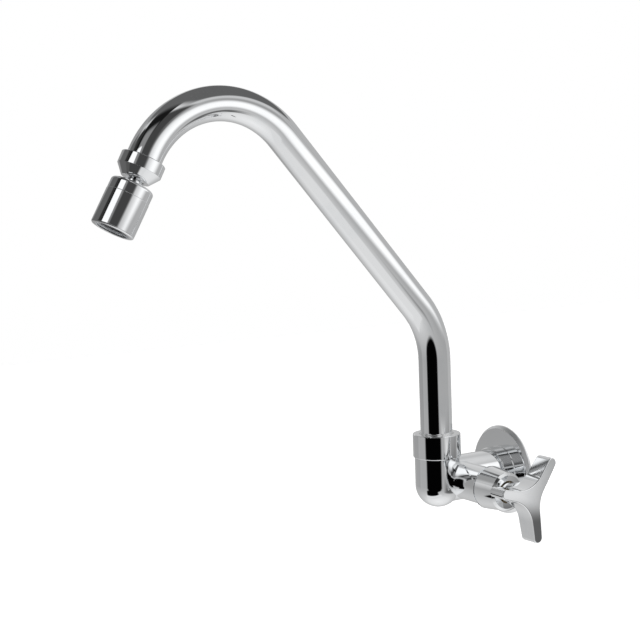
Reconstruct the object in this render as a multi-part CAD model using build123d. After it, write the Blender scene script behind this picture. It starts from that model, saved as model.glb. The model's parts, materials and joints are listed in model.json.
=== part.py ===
from build123d import *
import math
import os

# Wall-mounted kitchen tap with a long swivelling gooseneck spout and a ball-jointed aerator.
# Frame: the origin is the middle of the threaded inlet at the wall plane, +Y runs into the
# wall, +Z is up, and +X is the side of the handle.  All sizes are in millimetres.

# ---- clearances ---------------------------------------------------------------------------
RUNNING_FIT = 0.05          # radial gap where one piece turns in another
THREAD_FIT = 0.05           # radial gap between a screw and its nut, both drawn plain
SEAL_FIT = 0.02             # what an O-ring leaves to the bore that it wipes
LAY_GAP = 0.3               # gap between faces that must not rub

# ---- inlet and wall flange ----------------------------------------------------------------
INLET_THREAD_R = 10.48      # G 1/2 male thread
INLET_THREAD_LENGTH = 14.0
SHANK_R = 11.0
WATERWAY_R = 6.5
FLANGE_RIM_R = 31.65
FLANGE_FACE_R = 29.8
FLANGE_DEPTH = 3.5
FLANGE_RIM_EDGE = 1.2       # height of the upright part of the rim
FLANGE_RIM_LAND = 3.0       # width of the ring that bears on the wall
FLANGE_WALL = 1.3
HUB_R = 17.0
HUB_WALL = 1.8
HUB_LAND = 5.0              # length of the hub that closes on the shank
HUB_CHAMFER = 0.5
FLANGE_O_RING = 0.85        # section radius

# ---- valve body ---------------------------------------------------------------------------
BODY_R = 15.6               # barrel and elbow
BARREL_START = 12.8         # wall to the barrel's shoulder, where the hub ends
BARREL_ROUND = 1.6
OUTLET_REACH = 58.2         # wall to the spout's upright axis
ELBOW_DROP = 2.4            # how far the round elbow hangs below the barrel's axis
ELBOW_TOP = 17.4            # where the swivel nut starts
SPIGOT_R = 13.2             # G 3/4 male thread under the swivel nut
SPIGOT_TOP = 27.0
OUTLET_BORE_R = 7.6
OUTLET_BORE_FLOOR = -4.0
SOCKET_FLOOR = 12.0         # floor of the bore that takes the spout's plug
VALVE_REACH = 43.0          # wall to the valve's axis
BOSS_R = 12.8
BOSS_END = 38.4             # face that the valve cartridge tightens on
SEAT = 8.0                  # seat face, measured from the barrel's axis
SEAT_PORT_R = 5.5
WATERWAY_END = 48.5         # wall to the blind end of the inlet bore
CHAMBER_R = 9.6
CROSS_PORT_R = 4.0
CROSS_PORT_FROM = (16.0, -47.0, 6.0)
CROSS_PORT_RISE = 8.0       # height at which the cross port meets the outlet bore

# ---- quarter-turn cartridge ---------------------------------------------------------------
CARTRIDGE_THREAD_R = 10.43  # G 1/2
CARTRIDGE_THREAD_START = 24.0
CAGE_R = 8.9
CAGE_BORE_R = 7.6
CAGE_LIFT = 1.0             # the cage stays this far above the seat
SEAT_SEAL_THICK = 3.0
SEAT_SEAL_BORE_R = 5.6
DISC_THICK = 3.0
DISC_GAP = 0.02             # water film between the two ceramic discs
DISC_HUB_R = 2.2
DISC_WINDOW = 80.0          # degrees
WINDOW_HEIGHT = 6.0
WINDOW_WIDTH = 9.0
THRUST_FACE = 25.0
GASKET_THICK = 1.0
SHOULDER_R = 12.4
SHOULDER_THICK = 1.0
HEX_ACROSS = 21.0
HEX_LENGTH = 5.0
NECK_R = 7.5
NECK_END = 57.4
STEM_R = 5.0
STEM_TONGUE_WIDTH = 3.0
STEM_TONGUE_LENGTH = 10.0
STEM_TONGUE_DEEP = 1.2
STEM_DRIVER_R = 5.6
STEM_COLLAR_R = 6.9
STEM_COLLAR_THICK = 2.0
STEM_GROOVE_R = 4.0
STEM_GROOVE_WIDTH = 1.3
STEM_GROOVES = (31.0, 36.0)
SLIP_WASHER_THICK = 0.75
CLIP_R = 6.2
CLIP_THICK = 0.8
CLIP_MOUTH = 60.0           # degrees left open
SPLINE_R = 4.5
SPLINE_END = 74.0
SCREW_GROOVE_R = 3.7
SCREW_GROOVE_WIDTH = 5.0

# ---- bonnet cover -------------------------------------------------------------------------
COVER_BASE_R = 14.6
COVER_END_R = 12.9
COVER_CHAMFER = 1.6
COVER_LENGTH = 19.7
COVER_WALL = 1.2
COVER_END_WALL = 2.6

# ---- handle -------------------------------------------------------------------------------
HANDLE_NECK_R = 6.8
HANDLE_NECK_FLARE = 2.2
HANDLE_NECK_BLEND = 6.0
HANDLE_NECK_ROUND = 0.5
HANDLE_BACK = 70.5
HANDLE_FRONT = 85.2
HANDLE_CROWN_R = 300.0
LONG_ARM_R = 30.6
SHORT_ARM_R = 25.5
SHORT_ARM_ANGLE = 165.0     # degrees from +Y towards +Z, with the valve closed
ARM_SPREAD = 113.5          # degrees between the short arm and each long one
ARM_ROOT_WIDTH = 8.4
ARM_TIP_WIDTH = 6.4
ARM_BLEND_R = 20.0
HANDLE_EDGE = 0.7
SET_SCREW_R = 2.0           # M4
SET_SCREW_KEY = 1.0         # half the key's width across flats
SET_SCREW_SOCKET = 1.7      # depth of the key's socket
SET_SCREW_STATION = 64.0

# ---- swivel joint under the spout ---------------------------------------------------------
NUT_R = 16.57
NUT_TOP = 33.9
NUT_CHAMFER = 0.5
NUT_LIP = 2.4
NUT_LIP_BORE_R = 12.0
THRUST_WASHER_THICK = 0.9
PLUG_R = 10.4
PLUG_BOTTOM = 14.0
PLUG_GROOVE_DEPTH = 1.2
PLUG_GROOVE_WIDTH = 1.6
PLUG_GROOVES = (17.5, 23.0)
COLLAR_R = 12.6
COLLAR_THICK = 2.0
TUBE_SPIGOT_LENGTH = 9.0
BEARING_THICK = 1.4
BEARING_UPSTAND_R = 11.9
BEARING_PROUD = 0.4

# ---- spout --------------------------------------------------------------------------------
TUBE_R = 11.1               # 22.2 mm, 7/8 inch tube
TUBE_WALL = 1.0
RISER_TOP = 85.1            # where the lower bend starts
LOWER_BEND_R = 60.0
LEAN = 40.4                 # degrees from upright
LEAN_LENGTH = 153.5
ARCH_R = 58.2
END_ANGLE = 152.1           # direction of the spout's end, degrees from upright
END_STRAIGHT = 6.0

# ---- spout end, stations measured from the end of the arch ----------------------------------
END_NUT_R = 14.0
END_NUT_TOP = 2.4
END_NUT_BEVEL = 10.0        # where the bevel starts
END_NUT_BOTTOM = 16.3
END_NUT_MOUTH_R = 9.0
END_NUT_CHAMFER = 0.4
END_NUT_FLOOR = 11.0
END_THREAD_R = 12.0
END_WASHER_THICK = 1.0
STEM_THREAD_R = 6.0
BALL_NECK_R = 4.6
BALL_R = 8.0
BALL_STATION = 25.5
BALL_BORE_R = 3.0

# ---- aerator head, stations measured from the ball's centre ---------------------------------
HEAD_TILT = 1.8             # degrees that the head leans outward on its ball at rest
HEAD_TOP = -6.0
HEAD_SEAM = 1.9
HEAD_BOTTOM = 24.6
CAP_R = 13.6
CAP_ROUND = 2.0
CAP_SKIRT_R = 12.0
CAP_SKIRT_END = 7.5
RACE_R = 9.4
RACE_TOP = -3.5
RACE_BOTTOM = 1.5
BALL_SEAL_TOP = 4.4
BALL_SEAL_BORE_R = 5.0
SLEEVE_R = 13.75
SLEEVE_ROUND = 1.0
SLEEVE_LIP = 1.2
SLEEVE_LIP_R = 10.8
SLEEVE_WASHER_THICK = 2.0
SLEEVE_WASHER_BORE_R = 6.5
INSERT_R = 11.95
INSERT_WALL = 1.0
INSERT_LEDGE_R = 9.6
INSERT_LEDGE = 1.0
DIFFUSER_THICK = 2.0
DIFFUSER_DROP = 1.5
DIFFUSER_HOLES = 12
DIFFUSER_HOLE_R = 0.7
DIFFUSER_RING_R = 7.4
SCREEN_THICK = 0.4
SCREEN_PITCH = 2.0
SCREEN_WIRE = 0.4
SCREEN_RIM = 1.0
SCREENS = 3
SCREEN_SPACING = 1.2

# ---- sizes that follow from the ones above --------------------------------------------------
SOCKET_R = PLUG_R + RUNNING_FIT
COLLAR_BOTTOM = SPIGOT_TOP + THRUST_WASHER_THICK + 2 * RUNNING_FIT
TUBE_START = COLLAR_BOTTOM + COLLAR_THICK
TUBE_BORE_R = TUBE_R - TUBE_WALL
TUBE_SPIGOT_R = TUBE_BORE_R - THREAD_FIT
NUT_LIP_BOTTOM = NUT_TOP - NUT_LIP
BEARING_R = TUBE_R + RUNNING_FIT
CAGE_FOOT = SEAT + CAGE_LIFT
FIXED_DISC_START = SEAT + SEAT_SEAL_THICK
MOVING_DISC_START = FIXED_DISC_START + DISC_THICK + DISC_GAP
MOVING_DISC_END = MOVING_DISC_START + DISC_THICK
STEM_BORE_R = STEM_R + RUNNING_FIT
SLIP_WASHER_START = THRUST_FACE - SLIP_WASHER_THICK - RUNNING_FIT
SHOULDER_START = BOSS_END + GASKET_THICK
HEX_START = SHOULDER_START + SHOULDER_THICK
HEX_END = HEX_START + HEX_LENGTH
COVER_START = BOSS_END + LAY_GAP
COVER_END = COVER_START + COVER_LENGTH
CLIP_START = NECK_END + RUNNING_FIT
CLIP_END = CLIP_START + CLIP_THICK
HANDLE_NECK_START = max(COVER_END, CLIP_END) + LAY_GAP
BALL_CUP_R = BALL_R + RUNNING_FIT
RACE_CUP_R = RACE_R + RUNNING_FIT
INSERT_TOP = CAP_SKIRT_END + SLEEVE_WASHER_THICK
INSERT_BOTTOM = HEAD_BOTTOM - SLEEVE_LIP
FERRULE_END = END_NUT_FLOOR - END_WASHER_THICK


def lean_direction(degrees):
    """Unit vector in the spout's upright plane, turned from straight up towards the user."""
    angle = math.radians(degrees)
    return Vector(0, -math.sin(angle), math.cos(angle))


def arch_end():
    """Middle of the tube where the arch ends."""
    lean = math.radians(LEAN)
    end = math.radians(END_ANGLE)
    out = LOWER_BEND_R * (1 - math.cos(lean)) + LEAN_LENGTH * math.sin(lean)
    out += ARCH_R * (math.cos(lean) - math.cos(end))
    height = RISER_TOP + LOWER_BEND_R * math.sin(lean) + LEAN_LENGTH * math.cos(lean)
    height += ARCH_R * (math.sin(end) - math.sin(lean))
    return Vector(0, -OUTLET_REACH - out, height)


BALL_CENTRE = arch_end() + lean_direction(END_ANGLE) * BALL_STATION

# Each plane's normal is a turning axis; stations are measured along it from the plane's origin.
WALL = Plane(origin=(0, 0, 0), x_dir=(1, 0, 0), z_dir=(0, -1, 0))
RISER = Plane(origin=(0, -OUTLET_REACH, 0), x_dir=(1, 0, 0), z_dir=(0, 0, 1))
SIDE = Plane(origin=(0, -VALVE_REACH, 0), x_dir=(0, 1, 0), z_dir=(1, 0, 0))
TIP = Plane(origin=arch_end(), x_dir=(1, 0, 0), z_dir=lean_direction(END_ANGLE))
BALL = Plane(origin=BALL_CENTRE, x_dir=(1, 0, 0), z_dir=lean_direction(END_ANGLE))
HEAD = Plane(origin=BALL_CENTRE, x_dir=(1, 0, 0), z_dir=lean_direction(END_ANGLE - HEAD_TILT))


# ---- ways of making ---------------------------------------------------------------------------
def turned(plane, points, rounds=()):
    """Turn an outline of (radius, station) points about the plane's normal."""
    outline = make_face(Polyline(*points, close=True))
    for corner, radius in rounds:
        vertex = outline.vertices().sort_by_distance((corner[0], corner[1], 0))[0]
        outline = fillet(vertex, radius)
    return plane.location * revolve(Plane.XZ * outline, Axis.Z)


def rod(plane, radius, start, end):
    """Plain cylinder between two stations."""
    cylinder = Cylinder(radius, end - start, align=(Align.CENTER, Align.CENTER, Align.MIN))
    return plane.location * (Pos(0, 0, start) * cylinder)


def tube(plane, outer, inner, start, end):
    """Plain ring or bush between two stations."""
    return rod(plane, outer, start, end) - rod(plane, inner, start - 1, end + 1)


def prism(plane, sketch, start, end):
    """Flat outline drawn on the plane, raised between two stations."""
    return plane.location * (Pos(0, 0, start) * extrude(sketch, end - start))


def o_ring(plane, station, floor_r, wipe_r):
    """O-ring that sits on a groove's floor and reaches out to the bore that it wipes."""
    section = (wipe_r - floor_r) / 2
    return plane.location * (Pos(0, 0, station) * Torus(floor_r + section, section))


def wedge_pair(inner, outer, span, middle):
    """Two opposite sectors of a ring, as windows in a disc."""
    reach = 2 * outer
    half = math.radians(span / 2)
    sector = make_face(Polyline(
        (0, 0),
        (reach * math.cos(half), -reach * math.sin(half)),
        (reach * math.cos(half), reach * math.sin(half)),
        close=True,
    ))
    both = Rot(0, 0, middle) * sector + Rot(0, 0, middle + 180) * sector
    return (Circle(outer) - Circle(inner)) & both


# ---- valve body and wall flange -----------------------------------------------------------------
def valve_body():
    barrel = turned(
        WALL,
        [(0, BARREL_START), (BODY_R, BARREL_START), (BODY_R, OUTLET_REACH), (0, OUTLET_REACH)],
        rounds=[((BODY_R, BARREL_START), BARREL_ROUND)],
    )
    barrel += rod(SIDE, BOSS_R, 0, BOSS_END)
    barrel += rod(WALL, SHANK_R, 0, BARREL_START + 1)
    barrel += rod(WALL, INLET_THREAD_R, -INLET_THREAD_LENGTH, 1)
    elbow = RISER.location * (Pos(0, 0, -ELBOW_DROP) * Sphere(BODY_R))
    elbow += rod(RISER, BODY_R, -ELBOW_DROP, ELBOW_TOP)
    elbow += rod(RISER, SPIGOT_R, 0, SPIGOT_TOP)
    casting = barrel + elbow
    casting -= rod(WALL, WATERWAY_R, -INLET_THREAD_LENGTH - 1, WATERWAY_END)
    casting -= rod(SIDE, SEAT_PORT_R, 0, SEAT + 1)
    casting -= rod(SIDE, CHAMBER_R, SEAT, BOSS_END + 1)
    casting -= rod(SIDE, CARTRIDGE_THREAD_R + THREAD_FIT, CARTRIDGE_THREAD_START, BOSS_END + 1)
    casting -= rod(RISER, OUTLET_BORE_R, OUTLET_BORE_FLOOR, SPIGOT_TOP + 1)
    casting -= rod(RISER, SOCKET_R, SOCKET_FLOOR, SPIGOT_TOP + 1)
    start = Vector(*CROSS_PORT_FROM)
    finish = Vector(0, -OUTLET_REACH, CROSS_PORT_RISE)
    port = Plane(origin=start, z_dir=finish - start)
    return casting - rod(port, CROSS_PORT_R, 0, (finish - start).length)


def wall_flange():
    bore = SHANK_R + LAY_GAP
    hollow = HUB_R - HUB_WALL
    land = BARREL_START - HUB_LAND
    back = FLANGE_DEPTH - FLANGE_WALL
    flange = turned(WALL, [
        (bore, BARREL_START), (HUB_R - HUB_CHAMFER, BARREL_START), (HUB_R, BARREL_START - HUB_CHAMFER),
        (HUB_R, FLANGE_DEPTH), (FLANGE_FACE_R, FLANGE_DEPTH), (FLANGE_RIM_R, FLANGE_RIM_EDGE),
        (FLANGE_RIM_R, 0), (FLANGE_RIM_R - FLANGE_RIM_LAND, 0), (FLANGE_RIM_R - FLANGE_RIM_LAND, back),
        (hollow, back), (hollow, land), (bore, land),
    ], rounds=[((FLANGE_RIM_R, FLANGE_RIM_EDGE), 1.0), ((HUB_R, FLANGE_DEPTH), 0.6)])
    groove = SHANK_R + 2 * FLANGE_O_RING
    middle = BARREL_START - HUB_LAND / 2
    return flange - rod(WALL, groove, middle - FLANGE_O_RING, middle + FLANGE_O_RING)


def flange_o_ring():
    return o_ring(WALL, BARREL_START - HUB_LAND / 2, SHANK_R, SHANK_R + 2 * FLANGE_O_RING)


# ---- cartridge, spindle and bonnet --------------------------------------------------------------
def cartridge_housing():
    housing = rod(SIDE, CAGE_R, CAGE_FOOT, CARTRIDGE_THREAD_START)
    housing += rod(SIDE, CARTRIDGE_THREAD_R, CARTRIDGE_THREAD_START, SHOULDER_START)
    housing += rod(SIDE, SHOULDER_R, SHOULDER_START, HEX_START)
    housing += prism(SIDE, RegularPolygon(HEX_ACROSS / 2, 6, major_radius=False), HEX_START, HEX_END)
    housing += rod(SIDE, NECK_R, HEX_END, NECK_END)
    housing -= rod(SIDE, CAGE_BORE_R, CAGE_FOOT - 1, THRUST_FACE)
    housing -= rod(SIDE, STEM_BORE_R, THRUST_FACE - 1, NECK_END + 1)
    window = Rectangle(WINDOW_WIDTH, 4 * CAGE_R)
    return housing - prism(SIDE, window, MOVING_DISC_START, MOVING_DISC_START + WINDOW_HEIGHT)


def cartridge_gasket():
    return tube(SIDE, SHOULDER_R, CARTRIDGE_THREAD_R + THREAD_FIT, BOSS_END, SHOULDER_START)


def seat_seal():
    return tube(SIDE, CAGE_BORE_R - THREAD_FIT, SEAT_SEAL_BORE_R, SEAT, FIXED_DISC_START)


def fixed_disc():
    disc = rod(SIDE, CAGE_BORE_R - THREAD_FIT, FIXED_DISC_START, FIXED_DISC_START + DISC_THICK)
    ports = wedge_pair(DISC_HUB_R, SEAT_SEAL_BORE_R, DISC_WINDOW, 0)
    return disc - prism(SIDE, ports, FIXED_DISC_START - 1, FIXED_DISC_START + DISC_THICK + 1)


def moving_disc():
    disc = rod(SIDE, CAGE_BORE_R - 2 * RUNNING_FIT, MOVING_DISC_START, MOVING_DISC_END)
    ports = wedge_pair(DISC_HUB_R, 2 * CAGE_R, DISC_WINDOW, 90)
    disc -= prism(SIDE, ports, MOVING_DISC_START - 1, MOVING_DISC_END + 1)
    slot = Rectangle(STEM_TONGUE_LENGTH + 2 * THREAD_FIT, STEM_TONGUE_WIDTH + 2 * THREAD_FIT)
    return disc - prism(SIDE, slot, MOVING_DISC_END - STEM_TONGUE_DEEP - THREAD_FIT, MOVING_DISC_END + 1)


def spindle():
    collar_start = SLIP_WASHER_START - STEM_COLLAR_THICK
    tongue = Rectangle(STEM_TONGUE_LENGTH, STEM_TONGUE_WIDTH)
    stem = prism(SIDE, tongue, MOVING_DISC_END - STEM_TONGUE_DEEP, MOVING_DISC_END)
    stem += rod(SIDE, STEM_DRIVER_R, MOVING_DISC_END, collar_start)
    stem += rod(SIDE, STEM_COLLAR_R, collar_start, SLIP_WASHER_START)
    stem += rod(SIDE, STEM_R, SLIP_WASHER_START, CLIP_END)
    stem += rod(SIDE, SPLINE_R, CLIP_END, SPLINE_END)
    half_groove = STEM_GROOVE_WIDTH / 2
    for station in STEM_GROOVES:
        stem -= tube(SIDE, 2 * STEM_R, STEM_GROOVE_R, station - half_groove, station + half_groove)
    stem -= tube(SIDE, 2 * STEM_R, STEM_GROOVE_R, CLIP_START, CLIP_END)
    screw_low = SET_SCREW_STATION - SCREW_GROOVE_WIDTH / 2
    return stem - tube(SIDE, 2 * STEM_R, SCREW_GROOVE_R, screw_low, screw_low + SCREW_GROOVE_WIDTH)


def spindle_o_rings():
    wipe = STEM_BORE_R - SEAL_FIT
    return [o_ring(SIDE, station, STEM_GROOVE_R, wipe) for station in STEM_GROOVES]


def slip_washer():
    inner = STEM_R + THREAD_FIT
    return tube(SIDE, STEM_COLLAR_R, inner, SLIP_WASHER_START, SLIP_WASHER_START + SLIP_WASHER_THICK)


def spindle_clip():
    """Spring ring, open at the top so that it pushes on from the side."""
    height = 2 * CLIP_R
    half_mouth = height * math.tan(math.radians(CLIP_MOUTH / 2))
    mouth = make_face(Polyline((0, 0), (half_mouth, height), (-half_mouth, height), close=True))
    ring = Circle(CLIP_R) - Circle(STEM_GROOVE_R) - mouth
    return prism(SIDE, ring, CLIP_START, CLIP_END)


def bonnet_cover():
    """Thin turned shell that tapers towards the handle and hides the cartridge."""
    shoulder = COVER_END - COVER_CHAMFER
    taper = (COVER_BASE_R - COVER_END_R) / (shoulder - COVER_START)
    inner_start_r = COVER_BASE_R - COVER_WALL
    inner_end = COVER_END - COVER_END_WALL
    inner_end_r = inner_start_r - taper * (inner_end - COVER_START)
    bore = NECK_R + THREAD_FIT
    return turned(SIDE, [
        (inner_start_r, COVER_START), (COVER_BASE_R, COVER_START), (COVER_END_R, shoulder),
        (COVER_END_R - COVER_CHAMFER, COVER_END), (bore, COVER_END), (bore, inner_end),
        (inner_end_r, inner_end),
    ], rounds=[((COVER_BASE_R, COVER_START), 0.4), ((COVER_END_R, shoulder), 0.5)])


# ---- handle -------------------------------------------------------------------------------------
def star_outline():
    """A short and two long tapering arms that run into each other on large concave arcs."""
    star = Sketch()
    for reach, angle in ((SHORT_ARM_R, 0), (LONG_ARM_R, ARM_SPREAD), (LONG_ARM_R, -ARM_SPREAD)):
        arm = make_face(Polyline(
            (0, -ARM_ROOT_WIDTH / 2), (reach, -ARM_TIP_WIDTH / 2),
            (reach, ARM_TIP_WIDTH / 2), (0, ARM_ROOT_WIDTH / 2), close=True,
        ))
        star += Rot(0, 0, SHORT_ARM_ANGLE + angle) * arm
    waists = [corner for corner in star.vertices() if Vector(corner).length < ARM_ROOT_WIDTH]
    star = fillet(waists, ARM_BLEND_R)
    tips = [corner for corner in star.vertices() if Vector(corner).length > 0.9 * SHORT_ARM_R]
    return fillet(tips, 0.49 * ARM_TIP_WIDTH)


def handle():
    star = prism(SIDE, star_outline(), HANDLE_BACK, HANDLE_FRONT)
    star &= SIDE.location * (Pos(0, 0, HANDLE_FRONT - HANDLE_CROWN_R) * Sphere(HANDLE_CROWN_R))
    ends = [edge for edge in star.edges() if is_back(edge) or is_front(edge)]
    star = fillet(ends, HANDLE_EDGE)
    flare = HANDLE_NECK_R + HANDLE_NECK_FLARE
    foot = (HANDLE_NECK_R, HANDLE_NECK_START)
    waist = (HANDLE_NECK_R, HANDLE_BACK - flare)
    neck = turned(
        SIDE,
        [(0, HANDLE_NECK_START), foot, waist, (flare, HANDLE_BACK + HANDLE_EDGE), (0, HANDLE_BACK + 1)],
        rounds=[(waist, HANDLE_NECK_BLEND), (foot, HANDLE_NECK_ROUND)],
    )
    knob = star + neck
    knob -= rod(SIDE, SPLINE_R + THREAD_FIT, HANDLE_NECK_START - 1, SPLINE_END + LAY_GAP)
    return knob - rod(screw_plane(), SET_SCREW_R + THREAD_FIT, 0, 2 * HANDLE_NECK_R)


def is_back(edge):
    """Edges of the flat back lie behind the arms' flat sides."""
    return max(vertex.X for vertex in edge.vertices()) < (HANDLE_BACK + HANDLE_FRONT) / 2


def is_front(edge):
    """Edges of the crowned front lie ahead of the arms' flat sides."""
    return min(vertex.X for vertex in edge.vertices()) > (HANDLE_BACK + HANDLE_FRONT) / 2


def screw_plane():
    return Plane(origin=(SET_SCREW_STATION, -VALVE_REACH, 0), x_dir=(1, 0, 0), z_dir=(0, 0, -1))


def handle_set_screw():
    outer_end = HANDLE_NECK_R - LAY_GAP
    screw = rod(screw_plane(), SET_SCREW_R, SCREW_GROOVE_R, outer_end)
    key = RegularPolygon(SET_SCREW_KEY, 6, major_radius=False)
    return screw - prism(screw_plane(), key, outer_end - SET_SCREW_SOCKET, outer_end + 1)


# ---- swivel joint -------------------------------------------------------------------------------
def swivel_nut():
    bore = SPIGOT_R + THREAD_FIT
    return turned(RISER, [
        (bore, ELBOW_TOP), (NUT_R - NUT_CHAMFER, ELBOW_TOP), (NUT_R, ELBOW_TOP + NUT_CHAMFER),
        (NUT_R, NUT_TOP - NUT_CHAMFER), (NUT_R - NUT_CHAMFER, NUT_TOP), (NUT_LIP_BORE_R, NUT_TOP),
        (NUT_LIP_BORE_R, NUT_LIP_BOTTOM), (bore, NUT_LIP_BOTTOM),
    ])


def bearing_ring():
    bottom = NUT_LIP_BOTTOM - BEARING_THICK
    flange = SPIGOT_R - LAY_GAP
    return turned(RISER, [
        (BEARING_R, bottom), (flange, bottom), (flange, NUT_LIP_BOTTOM), (BEARING_UPSTAND_R, NUT_LIP_BOTTOM),
        (BEARING_UPSTAND_R, NUT_TOP + BEARING_PROUD), (BEARING_R, NUT_TOP + BEARING_PROUD),
    ])


def thrust_washer():
    return tube(RISER, COLLAR_R, SOCKET_R + THREAD_FIT, SPIGOT_TOP, SPIGOT_TOP + THRUST_WASHER_THICK)


def spout_ferrule():
    ferrule = rod(RISER, PLUG_R, PLUG_BOTTOM, COLLAR_BOTTOM)
    ferrule += rod(RISER, COLLAR_R, COLLAR_BOTTOM, TUBE_START)
    ferrule += rod(RISER, TUBE_SPIGOT_R, TUBE_START, TUBE_START + TUBE_SPIGOT_LENGTH)
    for station in PLUG_GROOVES:
        low = station - PLUG_GROOVE_WIDTH / 2
        ferrule -= tube(RISER, 2 * PLUG_R, PLUG_R - PLUG_GROOVE_DEPTH, low, low + PLUG_GROOVE_WIDTH)
    return ferrule - rod(RISER, OUTLET_BORE_R, PLUG_BOTTOM - 1, TUBE_START + TUBE_SPIGOT_LENGTH + 1)


def ferrule_o_rings():
    wipe = SOCKET_R - SEAL_FIT
    return [o_ring(RISER, station, PLUG_R - PLUG_GROOVE_DEPTH, wipe) for station in PLUG_GROOVES]


# ---- spout --------------------------------------------------------------------------------------
def spout_tube():
    side_view = Plane(origin=(0, -OUTLET_REACH, 0), x_dir=(0, -1, 0), z_dir=(-1, 0, 0))
    riser = Line((0, TUBE_START), (0, RISER_TOP))
    bend = JernArc(riser @ 1, riser % 1, LOWER_BEND_R, -LEAN)
    run = Line(bend @ 1, bend @ 1 + (bend % 1) * LEAN_LENGTH)
    arch = JernArc(run @ 1, run % 1, ARCH_R, LEAN - END_ANGLE)
    end = Line(arch @ 1, arch @ 1 + (arch % 1) * END_STRAIGHT)
    path = side_view.location * Wire([riser, bend, run, arch, end])
    section = Plane(origin=(0, -OUTLET_REACH, TUBE_START)) * (Circle(TUBE_R) - Circle(TUBE_BORE_R))
    return sweep(section, path=path)


def end_ferrule():
    ferrule = rod(TIP, TUBE_SPIGOT_R, 0, END_STRAIGHT)
    ferrule += rod(TIP, END_THREAD_R, END_STRAIGHT, FERRULE_END)
    return ferrule - rod(TIP, WATERWAY_R, -1, FERRULE_END + 1)


def end_nut():
    collar = TUBE_R + LAY_GAP
    bore = END_THREAD_R + THREAD_FIT
    mouth = STEM_THREAD_R + THREAD_FIT
    return turned(TIP, [
        (collar, END_NUT_TOP), (END_NUT_R - END_NUT_CHAMFER, END_NUT_TOP),
        (END_NUT_R, END_NUT_TOP + END_NUT_CHAMFER), (END_NUT_R, END_NUT_BEVEL),
        (END_NUT_MOUTH_R, END_NUT_BOTTOM), (mouth, END_NUT_BOTTOM), (mouth, END_NUT_FLOOR),
        (bore, END_NUT_FLOOR), (bore, END_STRAIGHT), (collar, END_STRAIGHT),
    ], rounds=[((END_NUT_MOUTH_R, END_NUT_BOTTOM), 0.5)])


def end_washer():
    return tube(TIP, END_THREAD_R, STEM_THREAD_R + LAY_GAP, FERRULE_END, END_NUT_FLOOR)


def ball_stem():
    stem = rod(TIP, STEM_THREAD_R, END_NUT_FLOOR, END_NUT_BOTTOM - END_NUT_CHAMFER)
    stem += rod(TIP, BALL_NECK_R, END_NUT_BOTTOM - 1, BALL_STATION)
    stem += BALL.location * Sphere(BALL_R)
    return stem - rod(TIP, BALL_BORE_R, END_NUT_FLOOR - 1, BALL_STATION + BALL_R + 1)


# ---- ball joint and aerator head ----------------------------------------------------------------
def ball_race():
    shell = BALL.location * (Sphere(RACE_R) - Sphere(BALL_CUP_R))
    return shell & rod(BALL, 2 * RACE_R, RACE_TOP, RACE_BOTTOM)


def head_cap():
    cap = turned(HEAD, [
        (0, HEAD_TOP), (CAP_R, HEAD_TOP), (CAP_R, HEAD_SEAM), (CAP_SKIRT_R, HEAD_SEAM),
        (CAP_SKIRT_R, CAP_SKIRT_END), (0, CAP_SKIRT_END),
    ], rounds=[((CAP_R, HEAD_TOP), CAP_ROUND)])
    return cap - HEAD.location * Sphere(RACE_CUP_R) - rod(HEAD, RACE_CUP_R, 0, CAP_SKIRT_END + 1)


def ball_seal():
    seal = tube(HEAD, RACE_CUP_R - THREAD_FIT, BALL_SEAL_BORE_R, BALL_SEAL_TOP, CAP_SKIRT_END)
    return seal - HEAD.location * Sphere(BALL_CUP_R)


def head_sleeve():
    bore = CAP_SKIRT_R + THREAD_FIT
    return turned(HEAD, [
        (bore, HEAD_SEAM), (SLEEVE_R, HEAD_SEAM), (SLEEVE_R, HEAD_BOTTOM), (SLEEVE_LIP_R, HEAD_BOTTOM),
        (SLEEVE_LIP_R, INSERT_BOTTOM), (bore, INSERT_BOTTOM),
    ], rounds=[((SLEEVE_R, HEAD_BOTTOM), SLEEVE_ROUND), ((SLEEVE_R, HEAD_SEAM), 0.3)])


def sleeve_washer():
    return tube(HEAD, CAP_SKIRT_R, SLEEVE_WASHER_BORE_R, CAP_SKIRT_END, INSERT_TOP)


def aerator_shell():
    inside = INSERT_R - INSERT_WALL
    shell = rod(HEAD, INSERT_R, INSERT_TOP, INSERT_BOTTOM)
    shell -= rod(HEAD, inside, INSERT_TOP - 1, INSERT_BOTTOM - INSERT_LEDGE)
    return shell - rod(HEAD, INSERT_LEDGE_R, INSERT_TOP, INSERT_BOTTOM + 1)


def aerator_diffuser():
    top = INSERT_TOP + DIFFUSER_DROP
    plate = rod(HEAD, INSERT_R - INSERT_WALL, top, top + DIFFUSER_THICK)
    holes = Sketch() + PolarLocations(DIFFUSER_RING_R, DIFFUSER_HOLES) * Circle(DIFFUSER_HOLE_R)
    return plate - prism(HEAD, holes, top - 1, top + DIFFUSER_THICK + 1)


def aerator_screens():
    """Stack of woven discs, drawn as flat lattices inside a pressed rim."""
    inside = INSERT_R - INSERT_WALL
    count = int(2 * inside / SCREEN_PITCH)
    bar = Rectangle(2 * inside, SCREEN_WIRE)
    rows = Sketch()
    for index in range(count):
        rows += Pos(0, (index - (count - 1) / 2) * SCREEN_PITCH) * bar
    rim = Circle(inside) - Circle(inside - SCREEN_RIM)
    lattice = ((rows + Rot(0, 0, 90) * rows) & Circle(inside)) + rim
    screens = []
    for index in range(SCREENS):
        bottom = INSERT_BOTTOM - INSERT_LEDGE - index * SCREEN_SPACING
        screens.append(prism(HEAD, lattice, bottom - SCREEN_THICK, bottom))
    return screens


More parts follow.
